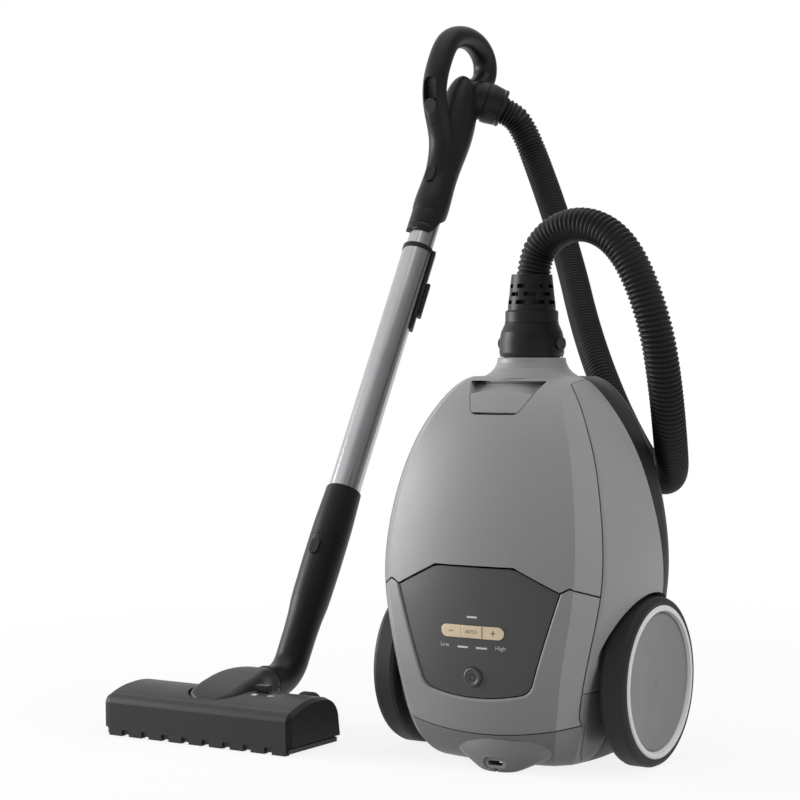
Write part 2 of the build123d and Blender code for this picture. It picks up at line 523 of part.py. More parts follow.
# Wand
def wand():
    """Telescopic tubes with guide ring and lock, lower cuff and the nozzle's neck."""
    def bar(points):
        return WAND * turned(points)

    parts["outer_tube"] = bar([(TUBE_BORE_R, TUBE_LOW), (TUBE_R, TUBE_LOW), (TUBE_R, TUBE_TOP),
                               (TUBE_BORE_R, TUBE_TOP)])
    ring = INNER_R + RUN_FIT
    guide = bar([(ring, 594), (TUBE_BORE_R, 594), (TUBE_BORE_R, TUBE_TOP),
                 (TUBE_R + 0.8, TUBE_TOP), (TUBE_R + 0.8, 612), (ring, 612)])
    parts["inner_tube"] = bar([(INNER_R - 1.2, INNER_LOW), (INNER_R, INNER_LOW),
                               (INNER_R, INNER_TOP), (INNER_R - 1.2, INNER_TOP)])
    rail = Rectangle(4, 12)
    spot = WAND * Rot(0, 0, 30)
    base = spot * Pos(TUBE_R + 1.6, 0, 500) * extrude(rail, 112)
    base = base - WAND * Pos(0, 0, 545) * Cylinder(TUBE_R, 140)
    parts["guide_ring"] = guide + base
    grip = spot * Pos(TUBE_R + 6.4, 0, 543) * Box(5, 10, 46)
    parts["lock_slider"] = fillet(grip.edges().filter_by(WAND_AXIS), 2)

    parts["lower_cuff"] = bar([(TUBE_R, CUFF_SEAM + 0.4), (23.4, CUFF_SEAM + 0.4), (23.2, 225),
                               (22.2, 250), (21.4, CUFF_TOP - 1), (20.6, CUFF_TOP), (TUBE_R, CUFF_TOP)])
    corner_s = (NECK_Z - WAND_BASE_Z) / cos(radians(WAND_LEAN))
    bend = NECK_BEND_R * tan(radians((90 - WAND_LEAN) / 2))
    upper = bar([(TUBE_R, CUFF_SEAM), (TUBE_R, TUBE_LOW), (17, TUBE_LOW), (17, corner_s + bend),
                 (19.6, corner_s + bend), (19.8, 84), (20.6, 104), (22.4, 122), (22.9, CUFF_LOW),
                 (23.4, 170), (23.4, CUFF_SEAM)])
    corner_y = (NECK_Z - WAND_BASE_Z) * tan(radians(WAND_LEAN))
    turn = JernArc(start=(corner_y - bend, NECK_Z), tangent=(1, 0), radius=NECK_BEND_R,
                   arc_size=90 - WAND_LEAN)
    knee_path = Plane.YZ.offset(WAND_X) * turn
    knee_start = Plane(origin=(WAND_X, corner_y - bend, NECK_Z), x_dir=(1, 0, 0), z_dir=(0, 1, 0))
    knee = sweep(knee_start * (Circle(19.6) - Circle(16)), knee_path)
    end = y_rod(20.0, NECK_END_Y, corner_y - bend, WAND_X, NECK_Z)
    end -= y_rod(SPIGOT_R + RUN_FIT, NECK_END_Y - 1, corner_y - bend + 1, WAND_X, NECK_Z)
    parts["nozzle_neck"] = upper + knee + end
    oval = Rot(90, 0, 0) * SlotOverall(20, 12, rotation=90)
    parts["nozzle_neck"] -= extrude(WAND * Pos(0, -20.5, 186) * offset(oval, 0.3), 8)
    parts["neck_button"] = extrude(WAND * Pos(0, -22.0, 186) * oval, 2.8)


# Floor nozzle
def nozzle_profile():
    """Side-view outline (y, z): upright front, low crowned top, rounded back."""
    return make_face([
        Line((NOZZLE_FRONT, SOLE_TOP), (NOZZLE_FRONT - 0.5, 37)),
        ThreePointArc((NOZZLE_FRONT - 0.5, 37), (-155, 43.5), (-148, 47)),
        ThreePointArc((-148, 47), (-116, 55), (-86, 54)),
        ThreePointArc((-86, 54), (-71, 44), (-65.5, 30)),
        Line((-65.5, 30), (NOZZLE_BACK, SOLE_TOP)),
        Line((NOZZLE_BACK, SOLE_TOP), (NOZZLE_FRONT, SOLE_TOP)),
    ])


def nozzle():
    """Housing, end caps, sole, brush, knob, swivel hump and rear wheels."""
    face = nozzle_profile()
    left, right = WAND_X - NOZZLE_HALF, WAND_X + NOZZLE_HALF
    cap = 7.0
    body = side_prism(face, left + cap, right - cap)
    inner = offset(face, -2.8) + Pos(-110, 10) * Rectangle(88, 12)
    hollow = side_prism(inner, left + cap + 2, right - cap - 2)
    gap = Pos(WAND_X, -98) * RectangleRounded(72, 88, 28) + Pos(WAND_X, -60) * Rectangle(48, 60)
    well = extrude(Pos(0, 0, 22) * gap, 80)
    body = body - hollow - well
    for side in (-1, 1):
        body += block(*sorted((WAND_X + side * 37.5, WAND_X + side * 46)), -120, -104, 28, 53.5)
        arm_x = WAND_X + side * (CASTOR_HALF - 12)
        body += block(arm_x - 2.5, arm_x + 2.5, -68, NOZZLE_WHEEL_Y + 7, 16, 31)
    body -= x_rod(TRUNNION_R + RUN_FIT, WAND_X - 60, WAND_X + 60, *PITCH_AXIS)
    knob_x = WAND_X + KNOB[0]
    body -= block(knob_x - 5, knob_x + 23, KNOB[1] - 2.2, KNOB[1] + 2.2, 40, 70)
    for side in (-1, 1):
        span = sorted((WAND_X + side * (CASTOR_HALF - 14.5), WAND_X + side * (CASTOR_HALF + 9)))
        body += x_rod(4.0, *span, NOZZLE_WHEEL_Y, NOZZLE_WHEEL_R)
    parts["nozzle_housing"] = body
    tip = offset(face, -2.4)
    for name, x0, x1 in (("end_cap_left", left + cap, left), ("end_cap_right", right - cap, right)):
        parts[name] = loft([Plane.YZ.offset(x0) * face, Plane.YZ.offset(x1) * tip], ruled=True)

    sole = block(left + 4, right - 4, NOZZLE_FRONT + 2, NOZZLE_BACK - 3, SOLE_LOW, SOLE_TOP)
    sole -= block(WAND_X - 100, WAND_X + 100, -132, -108, 0, 10)
    sole -= block(WAND_X - 112, WAND_X + 112, -147, -140, 0, 10)
    for i in range(9):
        x = left + 16 + i * (2 * NOZZLE_HALF - 32) / 8
        sole += block(x - 9, x + 9, NOZZLE_FRONT, NOZZLE_FRONT + 7, 1.0, SOLE_TOP)
    parts["nozzle_sole"] = sole
    parts["brush_strip"] = block(WAND_X - 111.5, WAND_X + 111.5, -146.5, -140.5, 2.6, 14)
    stem = block(knob_x - 4, knob_x + 4, KNOB[1] - 1.8, KNOB[1] + 1.8, 47, 57)
    parts["floor_knob"] = stem + block(knob_x - 8, knob_x + 8, KNOB[1] - 5, KNOB[1] + 5, 56.5, 63)

    rows = [(-140.3, 13.5, 38, 48.5, 5), (-136, 22.5, 35, 52, 6), (-129, 29.8, 31, 55.5, 8),
            (-114, 33.6, 26, 61, 10), (-84, 33.6, 26, 68.5, 11), (-58, 26, 28, 72.5, 13), (-46, 23, 28, 72, 17),
            (NECK_END_Y - 0.6, 20, NECK_Z - 20, NECK_Z + 20, 19.5)]
    rings = []
    for y, half, z0, z1, round_r in rows:
        plane = Plane(origin=(WAND_X, y, (z0 + z1) / 2), x_dir=(1, 0, 0), z_dir=(0, 1, 0))
        rings.append(plane * RectangleRounded(2 * half, z1 - z0, round_r))
    hump = loft(rings) + x_rod(TRUNNION_R, WAND_X - 45, WAND_X + 45, *PITCH_AXIS)
    hump += y_rod(SPIGOT_R, NECK_END_Y - 2, NECK_END_Y + 22, WAND_X, NECK_Z)
    parts["swivel_hump"] = hump
    for name, side in (("left", -1), ("right", 1)):
        x = WAND_X + side * CASTOR_HALF
        wheel = x_turned([(-7.5, 4 + RUN_FIT), (-7.5, 22), (-5.5, NOZZLE_WHEEL_R), (5.5, NOZZLE_WHEEL_R),
                          (7.5, 22), (7.5, 4 + RUN_FIT)], NOZZLE_WHEEL_Y, NOZZLE_WHEEL_R)
        parts[f"nozzle_wheel_{name}"] = Pos(x, 0, 0) * wheel


covers()
dust_lid()
controls()
chassis()
interior()
wheels()
hose_cuff()
suction_hose()
handle()
wand()
nozzle()

os.makedirs("parts", exist_ok=True)
for node, shape in parts.items():
    export_step(shape, f"parts/{node}.step")
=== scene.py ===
"""Looks of a canister vacuum cleaner with hose, telescopic wand and floor nozzle.

Everything is in metres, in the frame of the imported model: +Z up, floor at Z = 0, the canister's
mid-plane at X = 0 and its control panel facing -Y.
"""
import logging
import math
from dataclasses import dataclass
from enum import Enum
from typing import Any

import bpy
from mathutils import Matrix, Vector, noise


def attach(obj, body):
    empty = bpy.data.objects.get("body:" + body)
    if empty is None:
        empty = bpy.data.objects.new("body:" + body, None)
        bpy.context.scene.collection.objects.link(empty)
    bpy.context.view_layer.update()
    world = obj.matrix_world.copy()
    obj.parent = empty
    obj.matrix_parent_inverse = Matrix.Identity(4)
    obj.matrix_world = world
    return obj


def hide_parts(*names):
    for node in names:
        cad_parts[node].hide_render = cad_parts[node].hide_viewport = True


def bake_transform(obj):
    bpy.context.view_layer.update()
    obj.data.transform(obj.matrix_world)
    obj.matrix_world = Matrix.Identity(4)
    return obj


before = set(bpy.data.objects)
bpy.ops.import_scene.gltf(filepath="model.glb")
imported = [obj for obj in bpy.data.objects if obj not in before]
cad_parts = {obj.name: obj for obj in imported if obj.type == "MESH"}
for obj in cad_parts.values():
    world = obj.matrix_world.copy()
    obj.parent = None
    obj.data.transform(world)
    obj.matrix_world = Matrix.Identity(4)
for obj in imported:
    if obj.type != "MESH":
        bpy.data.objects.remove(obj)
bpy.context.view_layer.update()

MM = 0.001
LOG = logging.getLogger("vacuum")
Point = tuple[float, float, float]


# Small tools
def linear(hex_colour: str) -> tuple[float, float, float, float]:
    """Turn an sRGB hex colour into linear RGBA.

    Args:
        hex_colour: Six hex digits with a leading #.

    Returns:
        Linear red, green, blue and an alpha of 1.
    """
    parts = [int(hex_colour[i:i + 2], 16) / 255 for i in (1, 3, 5)]
    red, green, blue = (c / 12.92 if c <= 0.04045 else ((c + 0.055) / 1.055) ** 2.4 for c in parts)
    return red, green, blue, 1.0


def add_node(tree: bpy.types.NodeTree, kind: str, inputs: dict[Any, Any] | None = None,
             **settings: Any) -> bpy.types.Node:
    """Add one node with its settings, socket values and links.

    Args:
        tree: The node tree it goes into.
        kind: The node's type name.
        inputs: Socket name or number to a value, or to a (node, output) pair to link from.
        **settings: Attributes of the node itself.

    Returns:
        The new node.
    """
    node = tree.nodes.new(kind)
    for name, value in settings.items():
        setattr(node, name, value)
    for socket, value in (inputs or {}).items():
        if isinstance(value, tuple) and isinstance(value[0], bpy.types.Node):
            tree.links.new(value[0].outputs[value[1]], node.inputs[socket])
        else:
            node.inputs[socket].default_value = value
    return node


def deselect() -> None:
    """Leave edit mode and select nothing."""
    if bpy.context.object and bpy.context.object.mode != "OBJECT":
        bpy.ops.object.mode_set(mode="OBJECT")
    bpy.ops.object.select_all(action="DESELECT")


def focus(obj: bpy.types.Object) -> bpy.types.Object:
    """Make obj the only selected and active object."""
    deselect()
    obj.select_set(True)
    bpy.context.view_layer.objects.active = obj
    return obj


def settle(obj: bpy.types.Object, at: Point, turn: Point = (0.0, 0.0, 0.0),
           scale: Point = (1.0, 1.0, 1.0)) -> None:
    """Scale, turn and place a piece, with all three in its mesh.

    Args:
        obj: The piece.
        at: Where its own origin goes.
        turn: Turns about X, Y and Z, in degrees.
        scale: Scale along its own axes.
    """
    focus(obj)
    obj.scale = scale
    obj.rotation_euler = [math.radians(angle) for angle in turn]
    obj.location = at
    bpy.ops.object.transform_apply(location=True, rotation=True, scale=True)


def finish_with(obj: bpy.types.Object, kind: str, **settings: Any) -> None:
    """Add one modifier and apply it.

    Args:
        obj: The piece.
        kind: The modifier's type name.
        **settings: The modifier's attributes.
    """
    focus(obj)
    modifier = obj.modifiers.new(kind.lower(), kind)
    for name, value in settings.items():
        setattr(modifier, name, value)
    bpy.ops.object.modifier_apply(modifier=modifier.name)


def joined(name: str, pieces: list[bpy.types.Object]) -> bpy.types.Object:
    """Join meshes into one named object.

    Args:
        name: The new object's name.
        pieces: The meshes, at the origin.

    Returns:
        The joined object.
    """
    focus(pieces[0])
    for piece in pieces:
        piece.select_set(True)
    bpy.ops.object.join()
    pieces[0].name = name
    return pieces[0]


# Finishes
@dataclass(frozen=True)
class Finish:
    """A surface as it leaves its maker: colour, gloss and the fine relief of its tool or grain.

    Args:
        name: The material's name.
        colour: Base colour, sRGB hex.
        roughness: Principled roughness.
        metallic: Principled metallic.
        grain_mm: Width of the moulded grain or grit.
        relief_mm: Height of that grain.
        mottle: How far the colour drifts up and down, as a share.
        edge_mm: Radius of the rounded edges.
        ior: Refractive index of a plastic, rubber or cloth.
    """

    name: str
    colour: str
    roughness: float
    metallic: float = 0.0
    grain_mm: float = 0.9
    relief_mm: float = 0.012
    mottle: float = 0.03
    edge_mm: float = 0.6
    ior: float = 1.5

    def make(self) -> bpy.types.Material:
        """Build the material, once.

        Returns:
            The material, with its procedural nodes.
        """
        old = bpy.data.materials.get(self.name)
        if old:
            return old
        material = bpy.data.materials.new(self.name)
        material.use_nodes = True
        tree = material.node_tree
        tree.nodes.clear()
        coords = add_node(tree, "ShaderNodeTexCoord")
        height = self.relief(tree, coords)
        edge = add_node(tree, "ShaderNodeBevel", {"Radius": self.edge_mm * MM}, samples=6)
        bump = add_node(tree, "ShaderNodeBump", {
            "Height": height, "Distance": self.relief_mm * MM, "Strength": 1.0, "Normal": (edge, 0)})
        shader = add_node(tree, "ShaderNodeBsdfPrincipled", {
            "Base Color": self.tint(tree, coords), "Metallic": self.metallic,
            "Roughness": self.gloss(tree, coords), "Normal": (bump, 0)})
        if not self.metallic:
            shader.inputs["IOR"].default_value = self.ior
        add_node(tree, "ShaderNodeOutputMaterial", {"Surface": (shader, "BSDF")})
        return material

    def tint(self, tree: bpy.types.NodeTree, coords: bpy.types.Node) -> tuple[bpy.types.Node, Any]:
        """Colour that drifts a little over the surface.

        Args:
            tree: The material's node tree.
            coords: Its Texture Coordinate node.

        Returns:
            The node and output that give the colour.
        """
        drift = add_node(tree, "ShaderNodeTexNoise", {
            "Vector": (coords, "Object"), "Scale": 1000 / (60 * self.grain_mm), "Detail": 4.0})
        return self.ramp(tree, (drift, 0), 0.35, 0.65, 1 - self.mottle, 1 + self.mottle)

    def ramp(self, tree: bpy.types.NodeTree, source: tuple[bpy.types.Node, Any], start: float, end: float,
             low: float, high: float) -> tuple[bpy.types.Node, Any]:
        """Turn a grey pattern into two shades of the base colour.

        Args:
            tree: The material's node tree.
            source: Node and output of the pattern.
            start: Pattern value of the first shade.
            end: Pattern value of the second shade.
            low: First shade, as a share of the base colour.
            high: Second shade, as a share of the base colour.

        Returns:
            The node and output that give the colour.
        """
        ramp = add_node(tree, "ShaderNodeValToRGB", {"Fac": source})
        base = linear(self.colour)[:3]
        for element, place, share in zip(ramp.color_ramp.elements, (start, end), (low, high)):
            element.position = place
            element.color = (*[min(c * share, 1.0) for c in base], 1)
        return ramp, 0

    def gloss(self, tree: bpy.types.NodeTree, coords: bpy.types.Node) -> tuple[bpy.types.Node, Any]:
        """Roughness with the faint patches that handling and the mould leave.

        Args:
            tree: The material's node tree.
            coords: Its Texture Coordinate node.

        Returns:
            The node and output that give the roughness.
        """
        patch = add_node(tree, "ShaderNodeTexNoise", {
            "Vector": (coords, "Object"), "Scale": 1000 / 45, "Detail": 5.0})
        level = add_node(tree, "ShaderNodeMapRange", {
            0: (patch, 0), 1: 0.3, 2: 0.7, 3: self.roughness - 0.03, 4: self.roughness + 0.04})
        return level, 0

    def relief(self, tree: bpy.types.NodeTree, coords: bpy.types.Node) -> tuple[bpy.types.Node, Any]:
        """Height of the fine grain.

        Args:
            tree: The material's node tree.
            coords: Its Texture Coordinate node.

        Returns:
            The node and output that give the height.
        """
        grain = add_node(tree, "ShaderNodeTexNoise", {
            "Vector": (coords, "Object"), "Scale": 1000 / self.grain_mm, "Detail": 2.0})
        return grain, 0


@dataclass(frozen=True)
class FleckedPlastic(Finish):
    """Recycled ABS: the granulate shows as fine light and dark flecks under a satin grain.

    Args:
        fleck_mm: Distance between flecks.
    """

    fleck_mm: float = 5.0

    def tint(self, tree: bpy.types.NodeTree, coords: bpy.types.Node) -> tuple[bpy.types.Node, Any]:
        """Base colour with sparse flecks."""
        cells = add_node(tree, "ShaderNodeTexVoronoi", {
            "Vector": (coords, "Object"), "Scale": 1000 / self.fleck_mm, "Randomness": 1.0})
        light = self.ramp(tree, (cells, "Distance"), 0.10, 0.16, 1.28, 1.0)
        offset = add_node(tree, "ShaderNodeMapping", {
            "Vector": (coords, "Object"), "Location": (0.31, 0.17, 0.53)})
        others = add_node(tree, "ShaderNodeTexVoronoi", {
            "Vector": (offset, 0), "Scale": 1000 / (1.3 * self.fleck_mm), "Randomness": 1.0})
        dark = self.ramp(tree, (others, "Distance"), 0.08, 0.13, 0.72, 1.0)
        both = add_node(tree, "ShaderNodeMix", {0: 0.5, 6: light, 7: dark}, data_type="RGBA")
        return both, 2


@dataclass(frozen=True)
class DottedPlastic(FleckedPlastic):
    """The same ABS with a raster of fine moulded dots.

    Args:
        dot_mm: Distance between dots, drawn somewhat coarser than real so that it shows.
    """

    dot_mm: float = 2.2

    def relief(self, tree: bpy.types.NodeTree, coords: bpy.types.Node) -> tuple[bpy.types.Node, Any]:
        """Height of the round dots, laid out on the object's side in rows half a step apart."""
        split = add_node(tree, "ShaderNodeSeparateXYZ", {0: (coords, "Object")})
        flat = add_node(tree, "ShaderNodeCombineXYZ", {0: (split, "Y"), 1: (split, "Z")})
        turned = add_node(tree, "ShaderNodeMapping", {
            "Vector": (flat, 0), "Rotation": (0, 0, math.radians(45))})
        cells = add_node(tree, "ShaderNodeTexVoronoi", {
            "Vector": (turned, 0), "Scale": 1000 / self.dot_mm, "Randomness": 0.0},
            voronoi_dimensions="2D")
        dome = add_node(tree, "ShaderNodeMapRange", {
            0: (cells, "Distance"), 1: 0.12, 2: 0.38, 3: 1.0, 4: 0.0})
        return dome, 0


@dataclass(frozen=True)
class HeelPlastic(DottedPlastic):
    """The dotted moulding of the bumper, smooth in front of the curved joint on its flanks.

    Args:
        foremost: Y of the joint at its upper end.
        sweep: How far the joint runs back to its lower end.
        upper: Z of the upper end.
        drop: Height of the joint.
    """

    foremost: float = -77 * MM
    sweep: float = 27 * MM
    upper: float = 54 * MM
    drop: float = 45 * MM

    def relief(self, tree: bpy.types.NodeTree, coords: bpy.types.Node) -> tuple[bpy.types.Node, Any]:
        """Height of the dots behind the joint."""
        dots = super().relief(tree, coords)
        split = add_node(tree, "ShaderNodeSeparateXYZ", {0: (coords, "Object")})
        down = add_node(tree, "ShaderNodeMapRange", {
            0: (split, "Z"), 1: self.upper, 2: self.upper - self.drop, 3: 0.0, 4: 1.0})
        bow = add_node(tree, "ShaderNodeMath", {0: (down, 0), 1: 2.0}, operation="POWER")
        line = add_node(tree, "ShaderNodeMath", {0: (bow, 0), 1: self.sweep, 2: self.foremost},
                        operation="MULTIPLY_ADD")
        past = add_node(tree, "ShaderNodeMath", {0: (split, "Y"), 1: (line, 0)}, operation="GREATER_THAN")
        shown = add_node(tree, "ShaderNodeMath", {0: dots, 1: (past, 0)}, operation="MULTIPLY")
        return shown, 0


@dataclass(frozen=True)
class DrawnTube(Finish):
    """Drawn and anodised aluminium: fine lines along the tube under a satin skin.

    Args:
        lean: Angle of the tube from upright, in degrees.
        line_mm: Width of the drawing lines, drawn coarser than real so that they show.
    """

    lean: float = 30.0
    line_mm: float = 1.2

    def relief(self, tree: bpy.types.NodeTree, coords: bpy.types.Node) -> tuple[bpy.types.Node, Any]:
        """Height of the lines along the tube."""
        upright = add_node(tree, "ShaderNodeMapping", {
            "Vector": (coords, "Object"), "Rotation": (math.radians(self.lean), 0, 0)})
        drawn = add_node(tree, "ShaderNodeMapping", {
            "Vector": (upright, 0), "Scale": (1, 1, 0.01)})
        lines = add_node(tree, "ShaderNodeTexNoise", {
            "Vector": (drawn, 0), "Scale": 1000 / self.line_mm, "Detail": 3.0})
        return lines, 0


@dataclass(frozen=True)
class FibreCloth(Finish):
    """Non-woven: short fibres pressed into a sheet, with soft shade between them.

    Args:
        fibre_mm: Spacing of the fibres, drawn coarser than real so that they show.
    """

    fibre_mm: float = 1.6

    def relief(self, tree: bpy.types.NodeTree, coords: bpy.types.Node) -> tuple[bpy.types.Node, Any]:
        """Height of the crossing fibres."""
        fibres = add_node(tree, "ShaderNodeTexVoronoi", {
            "Vector": (coords, "Object"), "Scale": 1000 / self.fibre_mm}, feature="DISTANCE_TO_EDGE")
        return fibres, 0


# Moulded ABS from recycled granulate: satin grey with fine flecks.
BODY_GREY = FleckedPlastic("abs_flecked_grey", "#949495", 0.42)
# The same moulding with the dotted texture of the flanks, which takes the shine off.
FLANK_GREY = DottedPlastic("abs_dotted_grey", "#8C8C8D", 0.46, relief_mm=0.05)
# The bumper: smooth chin, dotted flanks.
HEEL_GREY = HeelPlastic("abs_heel_grey", "#7C7C7D", 0.44, relief_mm=0.05)
# Plain dark ABS of the control panel, smooth enough to mirror the soft box along its left side.
PANEL_GREY = Finish("abs_dark_grey", "#434345", 0.40, mottle=0.02)
# Black ABS with a satin tool finish, as on grips and cuffs.
SATIN_BLACK = Finish("abs_satin_black", "#1B1B1C", 0.38, mottle=0.05, ior=1.3)
# Black polypropylene with a coarser spark-eroded texture, as on the chassis.
CHASSIS_BLACK = Finish("pp_eroded_black", "#1C1C1D", 0.5, grain_mm=0.7, relief_mm=0.03, ior=1.34)
# Floor nozzle: the same plastic, rubbed a little smoother.
NOZZLE_BLACK = Finish("pp_nozzle_black", "#2E2E2F", 0.46, grain_mm=0.8, relief_mm=0.02, mottle=0.05,
                      ior=1.36)
# Soft end caps that take the knocks along a skirting board.
CAP_BLACK = Finish("tpe_cap_black", "#121213", 0.5, grain_mm=0.8, relief_mm=0.02, ior=1.28)
# Blow-moulded polyethylene of the hose.
HOSE_BLACK = Finish("pe_blown_black", "#181819", 0.42, grain_mm=0.8, relief_mm=0.01, edge_mm=0.3, ior=1.3)
# Soft tread of the wheels and feet.
TREAD_BLACK = Finish("tpe_tread_black", "#242425", 0.6, grain_mm=1.1, relief_mm=0.03, ior=1.4)
# Painted wheel rim.
RIM_GREY = Finish("abs_rim_grey", "#CFCFD0", 0.34)
# Wheel disc, of the body's granulate in a darker grey.
DISC_GREY = FleckedPlastic("abs_disc_grey", "#707071", 0.40)
# Metallised keys: vapour coat under satin lacquer.
CHAMPAGNE = Finish("abs_metallised_champagne", "#D3C1A3", 0.34, metallic=0.5, grain_mm=0.5,
                   relief_mm=0.003)
# Anodised aluminium tube.
TUBE_SILVER = DrawnTube("aluminium_anodised", "#B4B5B7", 0.22, metallic=1.0, relief_mm=0.004)
# Zinc-plated sheet of the motor can.
MOTOR_STEEL = Finish("steel_zinc_plated", "#A9ABAD", 0.36, metallic=1.0, grain_mm=1.6)
# Cast fan rotor, left as cast.
ROTOR_ALU = Finish("aluminium_cast", "#B9BABB", 0.45, metallic=1.0, grain_mm=1.2, relief_mm=0.03)
# Milky light guides in the panel.
LENS_WHITE = Finish("pc_diffuser_white", "#EDEDEC", 0.32, mottle=0.01)
# Pad-printed ink: white on dark plastic, brown on the keys, dark on the power key.
INK_WHITE = Finish("ink_pad_white", "#E4E4E4", 0.6, mottle=0.02)
INK_BROWN = Finish("ink_pad_brown", "#6B5A42", 0.6, mottle=0.02)
INK_DARK = Finish("ink_pad_dark", "#1D1D1E", 0.5, mottle=0.02, ior=1.3)
# Lacquered board behind the panel.
BOARD_GREEN = Finish("epoxy_glass_green", "#1F5A37", 0.35, mottle=0.08)
# Non-woven cloth of the dust bag.
BAG_CLOTH = FibreCloth("nonwoven_bag", "#D9D4C7", 0.9, grain_mm=1.5, relief_mm=0.12)
# Denser non-woven mat of the motor filter.
FILTER_CLOTH = FibreCloth("nonwoven_filter", "#E3E3E1", 0.9, grain_mm=1.5, relief_mm=0.15)
# Split nylon monofilament.
BRISTLE = Finish("nylon_bristle", "#1E1E1E", 0.5)

FINISHES: dict[Finish, tuple[str, ...]] = {
    BODY_GREY: ("rear_cover", "dust_lid", "inlet_collar", "lid_latch", "cord_outlet"),
    HEEL_GREY: ("rear_bumper",),
    FLANK_GREY: ("side_cover_left", "side_cover_right"),
    PANEL_GREY: ("control_panel", "power_button"),
    SATIN_BLACK: ("hose_cuff", "bend_guard", "cuff_button_left", "cuff_button_right",
                  "handle", "handle_button", "air_slider", "hose_ring", "guide_ring", "lock_slider",
                  "lower_cuff", "nozzle_neck", "neck_button", "floor_knob"),
    CHASSIS_BLACK: ("chassis", "bulkhead", "motor_cradle", "bag_holder", "cord_reel", "caster_fork"),
    NOZZLE_BLACK: ("nozzle_housing", "nozzle_sole", "swivel_hump"),
    CAP_BLACK: ("end_cap_left", "end_cap_right"),
    TREAD_BLACK: ("tyre_left", "tyre_right", "lid_gasket", "rear_foot", "caster_wheel",
                  "nozzle_wheel_left", "nozzle_wheel_right"),
    RIM_GREY: ("rim_left", "rim_right"),
    DISC_GREY: ("hub_cap_left", "hub_cap_right"),
    CHAMPAGNE: ("minus_button", "auto_button", "plus_button"),
    TUBE_SILVER: ("outer_tube", "inner_tube"),
    MOTOR_STEEL: ("motor_can",),
    ROTOR_ALU: ("fan_rotor",),
    LENS_WHITE: ("indicator_lenses",),
    BOARD_GREEN: ("control_board",),
    BAG_CLOTH: ("dust_bag",),
    FILTER_CLOTH: ("motor_filter",),
    BRISTLE: ("brush_strip",),
    HOSE_BLACK: ("suction_hose",),
}


